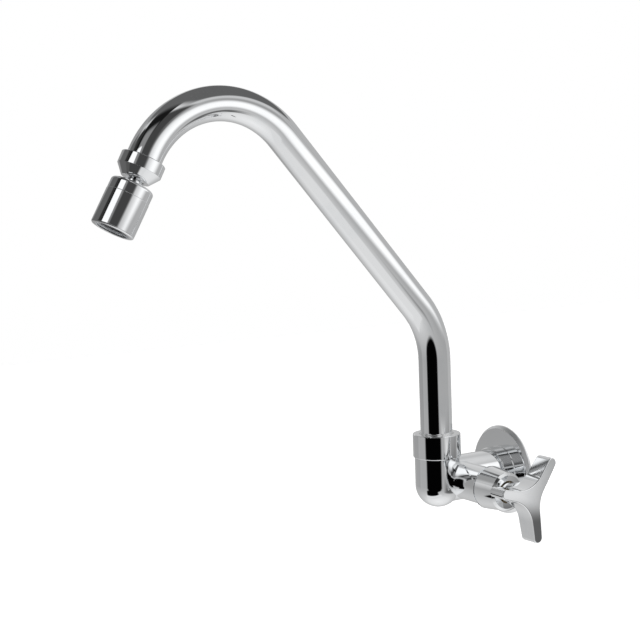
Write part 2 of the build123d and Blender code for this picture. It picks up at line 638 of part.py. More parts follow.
PIECES = [
    valve_body, wall_flange, flange_o_ring, bonnet_cover, cartridge_housing, cartridge_gasket, seat_seal,
    fixed_disc, moving_disc, spindle, spindle_o_rings, slip_washer, spindle_clip, handle, handle_set_screw,
    swivel_nut, bearing_ring, thrust_washer, spout_ferrule, ferrule_o_rings, spout_tube, end_ferrule, end_nut,
    end_washer, ball_stem, ball_race, head_cap, ball_seal, head_sleeve, sleeve_washer, aerator_shell,
    aerator_diffuser, aerator_screens,
]

os.makedirs("parts", exist_ok=True)
for make_piece in PIECES:
    made = make_piece()
    if isinstance(made, list):
        made = Compound(children=[solid for shape in made for solid in shape.solids()])
    export_step(made, os.path.join("parts", make_piece.__name__ + ".step"))
    print(make_piece.__name__, "volume", round(made.volume, 1), "mm3")
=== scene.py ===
# %% [markdown]
# # A wall tap with a swivelling gooseneck spout
#
# The tap is chromed brass: a valve body that screws into the wall, a bonnet and a three-armed
# handle on its right, and a long bent spout that turns on a nut and ends in a ball joint with
# an aerator.  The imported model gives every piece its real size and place.  This script keeps
# the pieces whose shape is already right, makes the ones that show again with finer surfaces,
# and gives each its finish.  Lengths are in millimetres until a mesh is made.

import json
import math

import bmesh
import bpy
import numpy as np
from mathutils import Matrix, Vector


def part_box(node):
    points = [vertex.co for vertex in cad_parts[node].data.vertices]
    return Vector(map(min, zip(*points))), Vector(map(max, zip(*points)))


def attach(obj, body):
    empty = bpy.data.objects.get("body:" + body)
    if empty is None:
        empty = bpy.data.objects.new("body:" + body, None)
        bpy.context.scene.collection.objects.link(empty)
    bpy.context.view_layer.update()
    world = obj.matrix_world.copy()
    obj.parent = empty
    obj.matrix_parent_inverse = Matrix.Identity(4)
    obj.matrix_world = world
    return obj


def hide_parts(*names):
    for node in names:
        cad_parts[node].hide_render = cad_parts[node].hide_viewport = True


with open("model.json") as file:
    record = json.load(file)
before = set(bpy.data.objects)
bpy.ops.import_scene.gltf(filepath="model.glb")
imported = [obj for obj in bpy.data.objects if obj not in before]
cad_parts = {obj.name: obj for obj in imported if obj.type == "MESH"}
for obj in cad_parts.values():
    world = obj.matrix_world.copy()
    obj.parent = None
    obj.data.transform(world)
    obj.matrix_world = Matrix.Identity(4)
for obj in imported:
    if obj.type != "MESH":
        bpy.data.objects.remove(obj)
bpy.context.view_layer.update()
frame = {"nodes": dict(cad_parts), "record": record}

MM = 0.001
NODES = frame["nodes"]
BODY_OF = {
    node: body
    for body, members in frame["record"]["behaviour"]["bodies"].items()
    for node in members
}
SLOT_OF = {node: NODES[node].data.materials[0].name for node in NODES}
print("pieces in the packed model:", len(NODES))

# %% [markdown]
# ## Small helpers
#
# Shader trees and Geometry Nodes trees are built the same way: make a node, set its options,
# then give each input a value or the output of another node.  One helper does all three, so
# that a tree below reads like a list of steps.  Two more start a material and an object.

# %% Helpers for trees, materials and objects
def add(tree, kind, inputs=None, **options):
    """Add a node; an input is given by name or number, as a value or as another node's output."""
    made = tree.nodes.new(kind)
    for name, value in options.items():
        setattr(made, name, value)
    for name, value in (inputs or {}).items():
        if isinstance(value, bpy.types.NodeSocket):
            tree.links.new(value, made.inputs[name])
        else:
            made.inputs[name].default_value = value
    return made


def calc(tree, operation, *values):
    """A Math node on up to three values."""
    made = add(tree, "ShaderNodeMath", dict(enumerate(values)), operation=operation)
    return made.outputs[0]


def vector_calc(tree, operation, *values, output=0):
    """A Vector Math node; the dot product comes out of socket 1."""
    made = add(tree, "ShaderNodeVectorMath", dict(enumerate(values)), operation=operation)
    return made.outputs[output]


def new_tree(name, kind, inputs, outputs):
    """An empty node group with named inputs and outputs: (name, socket type, default)."""
    tree = bpy.data.node_groups.new(name, kind)
    for label, socket, default in inputs:
        made = tree.interface.new_socket(label, in_out="INPUT", socket_type=socket)
        if default is not None:
            made.default_value = default
    for label, socket in outputs:
        tree.interface.new_socket(label, in_out="OUTPUT", socket_type=socket)
    return tree, tree.nodes.new("NodeGroupInput"), tree.nodes.new("NodeGroupOutput")


def new_material(name):
    """A new material with nothing in its tree; returns both."""
    material = bpy.data.materials.new(name)
    material.use_nodes = True
    material.node_tree.nodes.clear()
    return material, material.node_tree


def new_object(name, data):
    """A new object in the scene, at the origin."""
    made = bpy.data.objects.new(name, data)
    bpy.context.scene.collection.objects.link(made)
    return made


# %% [markdown]
# ## Shared surface effects
#
# Polished metal is never a perfect mirror.  The buffing wheel leaves a faint waviness, and
# handling leaves thin patches of haze where the reflection is a little softer.  Turned and
# moulded pieces have a fine grain of their own.  These two effects are node groups, built
# once and used by every finish with its own values.

# %% Node groups for haze and grain
HAZE_STARTS = 0.42          # level of the noise where a patch of haze begins
HAZE_FULL = 0.72            # level where the haze is full


def haze_group():
    """Patches of soft haze, and a slow waviness as a height."""
    tree, given, result = new_tree(
        "Buffed haze", "ShaderNodeTree",
        [("Patch Scale", "NodeSocketFloat", 60.0), ("Wave Scale", "NodeSocketFloat", 90.0)],
        [("Haze", "NodeSocketFloat"), ("Wave", "NodeSocketFloat")],
    )
    place = add(tree, "ShaderNodeTexCoord").outputs["Object"]
    patches = add(tree, "ShaderNodeTexNoise", {
        "Vector": place, "Scale": given.outputs["Patch Scale"], "Detail": 5.0, "Roughness": 0.65,
    })
    haze = add(tree, "ShaderNodeMapRange", {
        "Value": patches.outputs["Fac"], "From Min": HAZE_STARTS, "From Max": HAZE_FULL,
    }, interpolation_type="SMOOTHSTEP")
    wave = add(tree, "ShaderNodeTexNoise", {
        "Vector": place, "Scale": given.outputs["Wave Scale"], "Detail": 1.0,
    })
    tree.links.new(haze.outputs["Result"], result.inputs["Haze"])
    tree.links.new(wave.outputs["Fac"], result.inputs["Wave"])
    return tree


def grain_group():
    """Fine irregular grain as a height, and slow mottling as a mask."""
    tree, given, result = new_tree(
        "Moulded grain", "ShaderNodeTree",
        [("Grain Scale", "NodeSocketFloat", 2500.0), ("Mottle Scale", "NodeSocketFloat", 120.0)],
        [("Grain", "NodeSocketFloat"), ("Mottle", "NodeSocketFloat")],
    )
    place = add(tree, "ShaderNodeTexCoord").outputs["Object"]
    grain = add(tree, "ShaderNodeTexNoise", {
        "Vector": place, "Scale": given.outputs["Grain Scale"], "Detail": 3.0,
    })
    mottle = add(tree, "ShaderNodeTexNoise", {
        "Vector": place, "Scale": given.outputs["Mottle Scale"], "Detail": 4.0, "Roughness": 0.6,
    })
    tree.links.new(grain.outputs["Fac"], result.inputs["Grain"])
    tree.links.new(mottle.outputs["Fac"], result.inputs["Mottle"])
    return tree


HAZE = haze_group()
GRAIN = grain_group()
print("effects:", HAZE.name, "and", GRAIN.name)

# %% [markdown]
# ## Finishes
#
# There are two families.  A polished or plated metal takes the haze group: the haze lifts its
# roughness a little and the waviness bends its reflections by a hair.  A moulded or machined
# finish takes the grain group.  What is the same all over a surface, such as Metallic, is set
# on the shader's own socket; only what varies comes through links.

# %% Functions that make a finish
RIPPLE = 2e-6               # depth of the buffing waves, in metres
RIM_STARTS = 0.0297         # where the flange's polish gives way to a satin rim, in metres
RIM_FULL = 0.0300
RIM_ROUGHNESS = 0.42


def shade(name):
    """A new material with only a Principled shader; returns it, its tree and the shader."""
    material, tree = new_material(name)
    shader = add(tree, "ShaderNodeBsdfPrincipled")
    add(tree, "ShaderNodeOutputMaterial", {"Surface": shader.outputs["BSDF"]})
    return material, tree, shader


def between(tree, mask, low, high):
    """A value that runs from low to high with the mask."""
    return add(tree, "ShaderNodeMapRange", {
        "Value": mask, "To Min": low, "To Max": high,
    }).outputs["Result"]


def tint(tree, mask, first, second):
    """A colour that runs from the first to the second with the mask."""
    return add(tree, "ShaderNodeMix", {
        "Factor": mask, "A": (*first, 1.0), "B": (*second, 1.0),
    }, data_type="RGBA").outputs["Result"]


def bump(tree, height, distance):
    """A normal that rises with the height, by this distance in metres at most."""
    return add(tree, "ShaderNodeBump", {
        "Height": height, "Distance": distance, "Strength": 1.0,
    }).outputs["Normal"]


def polished_metal(name, clean, hazed, rough, hazed_rough, patch=60.0, wave=90.0):
    """Metal with a mirror polish, thin haze and a trace of waviness."""
    material, tree, shader = shade(name)
    effect = add(tree, "ShaderNodeGroup", node_tree=HAZE)
    effect.inputs["Patch Scale"].default_value = patch
    effect.inputs["Wave Scale"].default_value = wave
    haze = effect.outputs["Haze"]
    tree.links.new(tint(tree, haze, clean, hazed), shader.inputs["Base Color"])
    tree.links.new(between(tree, haze, rough, hazed_rough), shader.inputs["Roughness"])
    tree.links.new(bump(tree, effect.outputs["Wave"], RIPPLE), shader.inputs["Normal"])
    shader.inputs["Metallic"].default_value = 1.0
    return material


def satin_rim(material):
    """Past the edge of the flange's face the polish gives way to a fine brush."""
    tree = material.node_tree
    shader = tree.nodes["Principled BSDF"]
    polish = shader.inputs["Roughness"].links[0].from_socket
    place = add(tree, "ShaderNodeTexCoord").outputs["Object"]
    flat = vector_calc(tree, "MULTIPLY", place, (1.0, 0.0, 1.0))
    reach = vector_calc(tree, "LENGTH", flat, output=1)
    rim = add(tree, "ShaderNodeMapRange", {
        "Value": reach, "From Min": RIM_STARTS, "From Max": RIM_FULL,
    }).outputs["Result"]
    rough = add(tree, "ShaderNodeMix", {"Factor": rim, "A": polish, "B": RIM_ROUGHNESS})
    tree.links.new(rough.outputs["Result"], shader.inputs["Roughness"])
    return material


def grained(name, light, dark, rough, rough_spread, grain=2500.0, depth=2e-5, mottle=120.0,
            metallic=0.0):
    """A moulded, sintered or machined finish with a fine grain and slight mottling."""
    material, tree, shader = shade(name)
    effect = add(tree, "ShaderNodeGroup", node_tree=GRAIN)
    effect.inputs["Grain Scale"].default_value = grain
    effect.inputs["Mottle Scale"].default_value = mottle
    spots = effect.outputs["Mottle"]
    tree.links.new(tint(tree, spots, dark, light), shader.inputs["Base Color"])
    roughness = between(tree, spots, rough - rough_spread, rough + rough_spread)
    tree.links.new(roughness, shader.inputs["Roughness"])
    tree.links.new(bump(tree, effect.outputs["Grain"], depth), shader.inputs["Normal"])
    shader.inputs["Metallic"].default_value = metallic
    return material


# %% [markdown]
# The chrome is one plating on several kinds of surface.  The bent tube is buffed along its
# length and shows the longest waves, the casting is polished by hand, and the turned pieces
# are the crispest.  Nickel-chrome is very slightly blue, which the base colour holds.  The
# pieces inside are bare brass, stainless steel, rubber, fibre, acetal and ceramic.  The brass
# is darker than new brass: partly the tone of aged brass, and partly painted shade for the
# dark gap round the cartridge's neck inside the bonnet.

# %% The finishes
CHROME = (0.93, 0.94, 0.95)
CHROME_HAZED = (0.90, 0.915, 0.93)


def plated(name, rough, hazed_rough, **scales):
    """Chrome plating; only the polish under it differs from piece to piece."""
    return polished_metal(name, CHROME, CHROME_HAZED, rough, hazed_rough, **scales)


FINISHES = {
    "chromed_tube": plated("chromed_tube", 0.035, 0.065, wave=45.0),
    "chromed_casting": plated("chromed_casting", 0.025, 0.05, wave=70.0),
    "chromed_turning": plated("chromed_turning", 0.02, 0.045),
    "chromed_sheet": satin_rim(plated("chromed_sheet", 0.04, 0.07, patch=40.0)),
    "chromed_handle": plated("chromed_handle", 0.04, 0.08, patch=80.0),
    "chromed_ball": plated("chromed_ball", 0.03, 0.05, patch=120.0),
    "chromed_head": plated("chromed_head", 0.03, 0.06, patch=90.0),
    "bright_ring": polished_metal("bright_ring", (0.90, 0.90, 0.90), (0.82, 0.83, 0.84),
                                  0.10, 0.18),
    # Painted shade: this brass is darker than new brass, partly as aged brass and partly to stand
    # in for the shade in the gap round the cartridge's neck.
    "bare_brass": grained("bare_brass", (0.36, 0.28, 0.17), (0.20, 0.155, 0.095), 0.36, 0.10,
                          metallic=1.0),
    "spring_steel": grained("spring_steel", (0.60, 0.60, 0.61), (0.48, 0.48, 0.50), 0.28, 0.08,
                            metallic=1.0),
    "screen_steel": grained("screen_steel", (0.30, 0.30, 0.31), (0.20, 0.20, 0.21), 0.30, 0.08,
                            metallic=1.0),
    "seal_rubber": grained("seal_rubber", (0.035, 0.035, 0.037), (0.018, 0.018, 0.020),
                           0.55, 0.10),
    "seal_fibre": grained("seal_fibre", (0.36, 0.10, 0.06), (0.27, 0.07, 0.045), 0.75, 0.10,
                          grain=900.0, depth=6e-5),
    "slip_plastic": grained("slip_plastic", (0.86, 0.86, 0.82), (0.80, 0.80, 0.76), 0.38, 0.06),
    "aerator_plastic": grained("aerator_plastic", (0.62, 0.64, 0.66), (0.55, 0.57, 0.59),
                               0.42, 0.06),
    "ceramic": grained("ceramic", (0.88, 0.87, 0.84), (0.82, 0.81, 0.78), 0.16, 0.05, depth=4e-6),
}

for name, piece in NODES.items():
    for index in range(len(piece.data.materials)):
        piece.material_slots[index].link = "OBJECT"
        piece.material_slots[index].material = FINISHES[SLOT_OF[name]]
print("finishes:", len(FINISHES))

# %% [markdown]
# ## Pieces that stand in for packed ones
#
# A piece made here takes the moving body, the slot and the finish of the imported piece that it
# stands for.  Its place is in its mesh, so its object stays at the origin.

# %% Helper for a piece that stands in
def stand_in(piece, node):
    """Let a new piece replace a packed one and take its finish, slot and body."""
    piece.data.materials.clear()
    piece.data.materials.append(FINISHES[SLOT_OF[node]])
    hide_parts(node)
    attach(piece, BODY_OF[node])
    print(piece.name, len(piece.data.polygons), "faces")


def apply_tree(name, mesh, tree, values, placement):
    """Run a Geometry Nodes tree on a mesh, keep its result as a plain mesh, and place it."""
    seed = new_object(name + "_seed", mesh)
    modifier = seed.modifiers.new("tree", "NODES")
    modifier.node_group = tree
    for item in tree.interface.items_tree:
        if item.in_out == "INPUT" and item.name in values:
            modifier[item.identifier] = values[item.name]
    graph = bpy.context.evaluated_depsgraph_get()
    result = bpy.data.meshes.new_from_object(seed.evaluated_get(graph))
    bpy.data.objects.remove(seed)
    result.transform(placement)
    outward(result)
    return new_object(name, result)


def outward(mesh):
    """Turn the faces of closed shells to point outwards."""
    shell = bmesh.new()
    shell.from_mesh(mesh)
    bmesh.ops.recalc_face_normals(shell, faces=shell.faces)
    shell.to_mesh(mesh)
    shell.free()


def axis_placement(origin, direction):
    """Matrix that takes local Z, in metres, to an axis through a point given in millimetres."""
    turn = Vector((0, 0, 1)).rotation_difference(Vector(direction)).to_matrix().to_4x4()
    return Matrix.Translation(Vector(origin) * MM) @ turn


# %% [markdown]
# ## Turned pieces and screw threads
#
# The flange, the nuts, the bonnet and the aerator head all come off a lathe, so one Geometry
# Nodes tree makes them.  Its input is only the outline, half of the section.  The tree lays a
# grid with one column of points for each step round the axis, moves each grid point to its
# outline point turned by that column's angle, and merges the seam.  With more than one turn
# and a pitch the same tree makes a screw thread, whose ridge fades into its root at both ends,
# as where the cutter enters and leaves.
#
# A mirror finish shows every shading error.  A real edge is slightly rounded, so each corner
# of an outline becomes a small arc, with a holding point just before and just after it, which
# keeps the flat faces flat.

# %% Outlines with rounded corners
HOLD = 0.06                 # how far a holding point stands from the arc
ARC_STEP = 12.0             # degrees between two points of a rounded corner
BALL_STEP = 4.0             # degrees between two points of the ball and of its cup
CREASE = 0.6                # radians between two faces from which an edge is sharp
SEAM_GAP = 1e-7             # metres within which the lathe's first and last points merge


def rounded(corners):
    """Outline points for corners given as (radius, station) or (radius, station, round)."""
    points = []
    for index, corner in enumerate(corners):
        here = Vector(corner[:2])
        size = corner[2] if len(corner) > 2 else 0.0
        if not size:
            points.append(here)
            continue
        to_last = (Vector(corners[index - 1][:2]) - here).normalized()
        to_next = (Vector(corners[(index + 1) % len(corners)][:2]) - here).normalized()
        half = to_last.angle(to_next) / 2
        centre = here + (to_last + to_next).normalized() * (size / math.sin(half))
        reach = size / math.tan(half)
        first = here + to_last * reach - centre
        turn = math.pi - 2 * half
        if first.x * to_next.y - first.y * to_next.x < 0:
            turn = -turn
        steps = max(2, math.ceil(abs(math.degrees(turn)) / ARC_STEP))
        points.append(here + to_last * (reach + HOLD))
        for step in range(steps + 1):
            points.append(centre + Matrix.Rotation(turn * step / steps, 2) @ first)
        points.append(here + to_next * (reach + HOLD))
    return points


def arc_points(centre, radius, start, end):
    """Points of an arc about (0, centre) on the outline, angles from the axis's direction."""
    steps = max(2, math.ceil(abs(end - start) / BALL_STEP))
    found = []
    for step in range(steps + 1):
        angle = math.radians(start + (end - start) * step / steps)
        found.append((radius * math.sin(angle), centre + radius * math.cos(angle)))
    return found


print("corner of 1 mm:", len(rounded([(0, 0), (5, 0, 1.0), (5, 5), (0, 5)])), "points")

# %% The tree that turns an outline
def lathe_tree():
    """The tree that turns an outline, or winds it up into a ridge."""
    tree, given, result = new_tree(
        "Turned piece", "GeometryNodeTree",
        [("Outline", "NodeSocketGeometry", None), ("Steps Round", "NodeSocketInt", 192),
         ("Turns", "NodeSocketFloat", 1.0), ("Pitch", "NodeSocketFloat", 0.0),
         ("Fade Steps", "NodeSocketFloat", 0.0), ("Root Radius", "NodeSocketFloat", 0.0),
         ("Crease Angle", "NodeSocketFloat", CREASE), ("Finish", "NodeSocketMaterial", None)],
        [("Piece", "NodeSocketGeometry")],
    )
    outline = given.outputs["Outline"]
    steps = given.outputs["Steps Round"]
    size = add(tree, "GeometryNodeAttributeDomainSize", {"Geometry": outline})
    count = size.outputs["Point Count"]
    rows = calc(tree, "ADD", count, 1.0)
    grid = add(tree, "GeometryNodeMeshGrid", {
        "Vertices X": calc(tree, "ADD", steps, 1.0), "Vertices Y": rows,
    })
    index = add(tree, "GeometryNodeInputIndex").outputs["Index"]
    row = calc(tree, "MODULO", index, rows)
    column = calc(tree, "FLOOR", calc(tree, "DIVIDE", calc(tree, "ADD", index, 0.5), rows))
    point = add(tree, "GeometryNodeSampleIndex", {
        "Geometry": outline,
        "Value": add(tree, "GeometryNodeInputPosition").outputs["Position"],
        "Index": calc(tree, "MODULO", row, count),
    }, data_type="FLOAT_VECTOR")
    spot = add(tree, "ShaderNodeSeparateXYZ", {"Vector": point.outputs["Value"]})
    turns = calc(tree, "MULTIPLY", calc(tree, "DIVIDE", column, steps), given.outputs["Turns"])
    angle = calc(tree, "MULTIPLY", turns, 2 * math.pi)
    from_end = calc(tree, "MINIMUM", column, calc(tree, "SUBTRACT", steps, column))
    tiny = 1e-3
    fade = calc(tree, "MINIMUM", 1.0, calc(
        tree, "DIVIDE", calc(tree, "ADD", from_end, tiny),
        calc(tree, "ADD", given.outputs["Fade Steps"], tiny)))
    root = given.outputs["Root Radius"]
    above_root = calc(tree, "SUBTRACT", spot.outputs["X"], root)
    radius = calc(tree, "MULTIPLY_ADD", above_root, fade, root)
    rise = calc(tree, "MULTIPLY", turns, given.outputs["Pitch"])
    turned = add(tree, "ShaderNodeCombineXYZ", {
        "X": calc(tree, "MULTIPLY", radius, calc(tree, "COSINE", angle)),
        "Y": calc(tree, "MULTIPLY", radius, calc(tree, "SINE", angle)),
        "Z": calc(tree, "MULTIPLY_ADD", spot.outputs["Z"], fade, rise),
    })
    moved = add(tree, "GeometryNodeSetPosition", {
        "Geometry": grid.outputs["Mesh"], "Position": turned.outputs["Vector"],
    })
    merged = add(tree, "GeometryNodeMergeByDistance", {
        "Geometry": moved.outputs["Geometry"], "Distance": SEAM_GAP,
    })
    finish_mesh(tree, merged.outputs["Geometry"], given, result)
    return tree


def finish_mesh(tree, geometry, given, result):
    """Smooth shading broken at creases, then the last two steps of every tree here."""
    smooth = add(tree, "GeometryNodeSetShadeSmooth", {"Geometry": geometry, "Shade Smooth": True})
    bend = add(tree, "GeometryNodeInputMeshEdgeAngle").outputs["Unsigned Angle"]
    crease = add(tree, "FunctionNodeCompare", {
        "A": bend, "B": given.outputs["Crease Angle"],
    }, data_type="FLOAT", operation="LESS_THAN")
    edges = add(tree, "GeometryNodeSetShadeSmooth", {
        "Geometry": smooth.outputs["Geometry"], "Shade Smooth": crease.outputs["Result"],
    }, domain="EDGE")
    real = add(tree, "GeometryNodeRealizeInstances", {"Geometry": edges.outputs["Geometry"]})
    coloured = add(tree, "GeometryNodeSetMaterial", {
        "Geometry": real.outputs["Geometry"], "Material": given.outputs["Finish"],
    })
    tree.links.new(coloured.outputs["Geometry"], result.inputs[0])


LATHE = lathe_tree()
print("steps in the lathe's tree:", len(LATHE.nodes))


def turn_piece(name, node, axis, corners, steps=192):
    """Turn an outline about an axis (origin, direction), and let it stand in for a node."""
    outline = bpy.data.meshes.new(name)
    points = [(p[0] * MM, 0.0, p[1] * MM) for p in rounded(corners)]
    outline.from_pydata(points, [], [])
    values = {"Steps Round": steps, "Finish": FINISHES[SLOT_OF[node]]}
    stand_in(apply_tree(name, outline, LATHE, values, axis_placement(*axis)), node)


# %% [markdown]
# ## The axes
#
# The inlet's axis runs out of the wall, the valve's axis runs to the right, the riser's axis is
# upright, and the outlet's axis leans outward at the end of the spout, where the head leans a
# little more.  The spout's centre line is a straight riser, a bend, a straight leaning run and
# a long arch, so the outlet's place follows from the sizes of those four.

# %% Axes and the spout's centre line
RISER_REACH = -sum(c.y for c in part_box("swivel_nut")) / 2 / MM
VALVE_REACH = -sum(c.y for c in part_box("bonnet_cover")) / 2 / MM
FACET_GAP = 0.032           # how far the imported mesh's flat facets lie inside the true round
TUBE_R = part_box("spout_tube")[1].x / MM - FACET_GAP
TUBE_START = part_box("spout_tube")[0].z / MM
TUBE_WALL = 1.0
RISER_TOP = 85.1
LOWER_BEND_R = 60.0
LEAN = 40.4                 # degrees from upright
LEAN_LENGTH = 153.5
ARCH_R = 58.2
END_ANGLE = 152.1
END_STRAIGHT = 6.0
BALL_STATION = 25.5         # the ball's middle, past the end of the arch
HEAD_TILT = 1.8             # degrees that the head leans outward on its ball
BEND_STEP = 1.5             # degrees between two points of the centre line


def leaning(degrees):
    """Unit vector in the spout's upright plane, turned from straight up towards the user."""
    return Vector((0, -math.sin(math.radians(degrees)), math.cos(math.radians(degrees))))


def bend(points, start_angle, end_angle, radius):
    """Carry a centre line round an arc."""
    count = math.ceil(abs(end_angle - start_angle) / BEND_STEP)
    stride = 2 * radius * math.sin(math.radians(end_angle - start_angle) / count / 2)
    for index in range(count):
        middle = start_angle + (end_angle - start_angle) * (index + 0.5) / count
        points.append(points[-1] + leaning(middle) * stride)


spout_line = [Vector((0, -RISER_REACH, TUBE_START)), Vector((0, -RISER_REACH, RISER_TOP))]
bend(spout_line, 0, LEAN, LOWER_BEND_R)
spout_line.append(spout_line[-1] + leaning(LEAN) * LEAN_LENGTH)
bend(spout_line, LEAN, END_ANGLE, ARCH_R)
arch_end = spout_line[-1]
spout_line.append(arch_end + leaning(END_ANGLE) * END_STRAIGHT)
ball_centre = arch_end + leaning(END_ANGLE) * BALL_STATION

WALL = ((0, 0, 0), (0, -1, 0))
SIDE = ((0, -VALVE_REACH, 0), (1, 0, 0))
RISER = ((0, -RISER_REACH, 0), (0, 0, 1))
TIP = (arch_end, leaning(END_ANGLE))
HEAD = (ball_centre, leaning(END_ANGLE - HEAD_TILT))
print("arch ends at", [round(c, 2) for c in arch_end])
print("ball at", [round(c, 2) for c in ball_centre])

# %% [markdown]
# ## The turned pieces of the valve
#
# The wall flange is pressed sheet with a turned hub, the swivel nut is a plain round nut, and
# the bonnet is a thin shell that tapers towards the handle.  Each corner is
# (radius, station along the axis, size of its edge round).

# %% Flange, bonnet, swivel nut and bearing ring
turn_piece("wall_flange_pressed", "wall_flange", WALL, [
    (11.3, 12.8, 0.15), (16.5, 12.8, 0.2), (17.0, 12.3, 0.2), (17.0, 3.5, 0.6),
    (29.8, 3.5, 0.25), (31.65, 1.2, 1.0), (31.65, 0.0, 0.1), (28.65, 0.0), (28.65, 2.2),
    (15.2, 2.2), (15.2, 7.8), (11.3, 7.8),
], steps=256)
turn_piece("bonnet_shell", "bonnet_cover", SIDE, [
    (13.4, 38.7), (14.6, 38.7, 0.4), (14.53, 39.5, 0.1), (13.8, 39.5), (13.8, 40.2),
    (14.46, 40.2, 0.15), (12.9, 56.8, 0.3), (11.3, 58.4, 0.3),
    (7.55, 58.4, 0.15), (7.55, 55.8), (11.794, 55.8),
])
turn_piece("swivel_nut_turned", "swivel_nut", RISER, [
    (13.25, 17.4), (16.07, 17.4, 0.2), (16.57, 17.9, 0.25), (16.57, 33.4, 0.25),
    (16.07, 33.9, 0.2), (12.0, 33.9, 0.15), (12.0, 31.5), (13.25, 31.5),
])
turn_piece("bearing_ring_turned", "bearing_ring", RISER, [
    (11.15, 30.1), (12.9, 30.1), (12.9, 31.5), (11.9, 31.5), (11.9, 34.3, 0.15),
    (11.15, 34.3, 0.1),
])

# %% [markdown]
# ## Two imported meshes, put right
#
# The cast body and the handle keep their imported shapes.  Each is copied as one closed mesh that
# keeps the normal of every corner, and one thing is put right in the copy.  The body's shank is
# a plain pin out to the crests of its thread, so it is turned down to the root, and the ridge
# is wound on later.

# %% The body, with its shank turned down
THREAD_CREST_R = 10.48
THREAD_ROOT_R = 9.32
WALL_SLACK = 1e-5           # metres that a point of the shank may be off the wall's plane
CREST_SLACK = 2e-5          # and off the crests


def merged_copy(node, name):
    """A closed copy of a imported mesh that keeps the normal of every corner."""
    source = NODES[node].data
    places = np.empty(len(source.vertices) * 3)
    source.vertices.foreach_get("co", places)
    spots, match = np.unique(np.round(places.reshape(-1, 3), 6), axis=0, return_inverse=True)
    triangles = np.empty(len(source.loops), dtype=int)
    source.loops.foreach_get("vertex_index", triangles)
    triangles = match.reshape(-1)[triangles].reshape(-1, 3)
    corners = np.empty(len(source.loops) * 3)
    source.corner_normals.foreach_get("vector", corners)
    whole = (triangles != np.roll(triangles, 1, axis=1)).all(axis=1)
    mesh = bpy.data.meshes.new(name)
    mesh.from_pydata(spots.tolist(), [], triangles[whole].tolist())
    mesh.shade_smooth()
    mesh.normals_split_custom_set(corners.reshape(-1, 3, 3)[whole].reshape(-1, 3).tolist())
    return new_object(name, mesh)


body = merged_copy("valve_body", "valve_body_cast")
for vertex in body.data.vertices:
    reach = math.hypot(vertex.co.x, vertex.co.z)
    if vertex.co.y > -WALL_SLACK and abs(reach - THREAD_CREST_R * MM) < CREST_SLACK:
        vertex.co.x *= THREAD_ROOT_R / (reach / MM)
        vertex.co.z *= THREAD_ROOT_R / (reach / MM)
stand_in(body, "valve_body")

# %% [markdown]
# The front of the handle is a shallow dome.  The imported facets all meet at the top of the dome
# and show there as a spot in the reflection.  In the copy every corner on the dome takes its
# normal from the dome's centre, so the reflection runs through without a break.

# %% The handle, with true normals on its dome
CROWN_R = 300.0
CROWN_RIM = 84.0            # the dome's lowest station; the rounded rim lies below it
CROWN_SLACK = 0.005         # how far a point of the dome may be off it

handle = merged_copy("handle", "handle_cast")
crown_centre = Vector((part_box("handle")[1].x - CROWN_R * MM, -VALVE_REACH * MM, 0.0))
handle_normals = [corner.vector.copy() for corner in handle.data.corner_normals]
spokes = [vertex.co - crown_centre for vertex in handle.data.vertices]
on_crown = [
    abs(spoke.length / MM - CROWN_R) < CROWN_SLACK and vertex.co.x > CROWN_RIM * MM
    for spoke, vertex in zip(spokes, handle.data.vertices)
]
for face in handle.data.polygons:
    if all(on_crown[corner] for corner in face.vertices):
        for loop, corner in zip(face.loop_indices, face.vertices):
            handle_normals[loop] = spokes[corner].normalized()
handle.data.normals_split_custom_set(handle_normals)
stand_in(handle, "handle")
print("points on the dome:", sum(on_crown))

# %% [markdown]
# ## The inlet's thread
#
# A pipe thread screws the body into the wall.  It can be seen only from behind, and there it
# is what tells a tap's tail from a plain pin.  The lathe's tree winds one ridge of six-and-a-bit
# turns round the shank, at fourteen to the inch.

# %% The ridge of the thread
THREAD_PITCH = 25.4 / 14
THREAD_START = 1.6          # the first turn's middle, into the wall
THREAD_END = 12.9
CREST_FLAT = 0.24
RIDGE_FOOT_R = THREAD_ROOT_R - 0.15     # the ridge's foot lies just inside the shank
RIDGE_HALF_FOOT = THREAD_PITCH * 0.47
RIDGE_STEPS = 64            # in one turn
RIDGE_FADE = 24.0           # steps in which the ridge rises from its root
RIDGE_CREASE = 0.5          # radians

ridge_outline = bpy.data.meshes.new("inlet_thread")
ridge_outline.from_pydata([
    (RIDGE_FOOT_R * MM, 0, -RIDGE_HALF_FOOT * MM), (THREAD_CREST_R * MM, 0, -CREST_FLAT / 2 * MM),
    (THREAD_CREST_R * MM, 0, CREST_FLAT / 2 * MM), (RIDGE_FOOT_R * MM, 0, RIDGE_HALF_FOOT * MM),
], [], [])
thread_turns = (THREAD_END - THREAD_START) / THREAD_PITCH
thread = apply_tree("inlet_thread", ridge_outline, LATHE, {
    "Steps Round": round(thread_turns * RIDGE_STEPS), "Turns": thread_turns,
    "Pitch": THREAD_PITCH * MM, "Fade Steps": RIDGE_FADE, "Root Radius": RIDGE_FOOT_R * MM,
    "Crease Angle": RIDGE_CREASE, "Finish": FINISHES["chromed_casting"],
}, axis_placement((0, THREAD_START, 0), (0, 1, 0)))
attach(thread, BODY_OF["valve_body"])
print(thread.name, len(thread.data.polygons), "faces,", round(thread_turns, 2), "turns")

# %% [markdown]
# ## The turned pieces at the spout's end
#
# The end nut has a long bevel down to its mouth.  The ball's stem screws into it.  The head's
# cap holds the ball in a round cup, and the sleeve screws on under a thin seam.

# %% End nut, ball, cap and sleeve
BALL_R = 8.0
BALL_NECK_R = 4.6
BALL_BORE_R = 3.0
CUP_R = 9.45
CUP_LIP = -6.0              # the lip's station, behind the ball's middle
neck_angle = 180 - math.degrees(math.asin(BALL_NECK_R / BALL_R))
bore_angle = math.degrees(math.asin(BALL_BORE_R / BALL_R))
lip_angle = math.degrees(math.acos(CUP_LIP / CUP_R))

